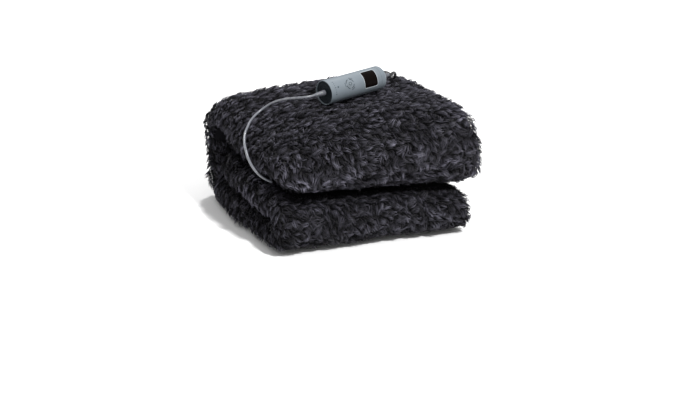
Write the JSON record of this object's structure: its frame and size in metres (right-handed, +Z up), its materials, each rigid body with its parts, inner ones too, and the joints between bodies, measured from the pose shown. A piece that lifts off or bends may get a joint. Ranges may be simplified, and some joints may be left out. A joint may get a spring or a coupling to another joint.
{
  "type": "electric heated throw blanket, folded, with its corded controller",
  "caption": "Deep-pile electric heated throw folded into a low square stack, with a round bar controller, its leads and a coiled mains lead with a plug.",
  "frame": {"origin": "on the surface it rests on, under the middle of the folded throw's box, leads and plug not counted", "axes": "+X along the front rolls to the right, +Y from the front rolls to the big back fold, +Z up"},
  "size_m": [0.3639, 0.4914, 0.2505],
  "materials": {
    "plush": "deep dark charcoal pile, clumped and slightly glossy at its tips",
    "controller_plastic": "satin blue-grey moulded plastic",
    "dark_plastic": "satin dark slate plastic",
    "display_lens": "black tinted gloss window",
    "key_membrane": "soft blue-grey membrane",
    "lamp_lens": "small dark indicator lens",
    "lead_grey": "smooth silver-grey flexible jacket",
    "lead_black": "black flexible jacket and moulded plug",
    "blade_metal": "bright plated contact blades"
  },
  "bodies": {
    "root": {"throw": "plush", "controller_shell": "controller_plastic", "end_cap": "dark_plastic", "display": "display_lens", "power_key": "key_membrane", "lamp": "lamp_lens", "control_relief": "lead_grey", "mains_relief": "lead_grey", "control_lead": "lead_grey", "mains_lead": "lead_black", "mains_coil": "lead_black", "plug_tail": "lead_black", "plug_relief": "lead_black", "plug_body": "lead_black", "blade_a": "blade_metal", "blade_b": "blade_metal"}
  },
  "joints": []
}
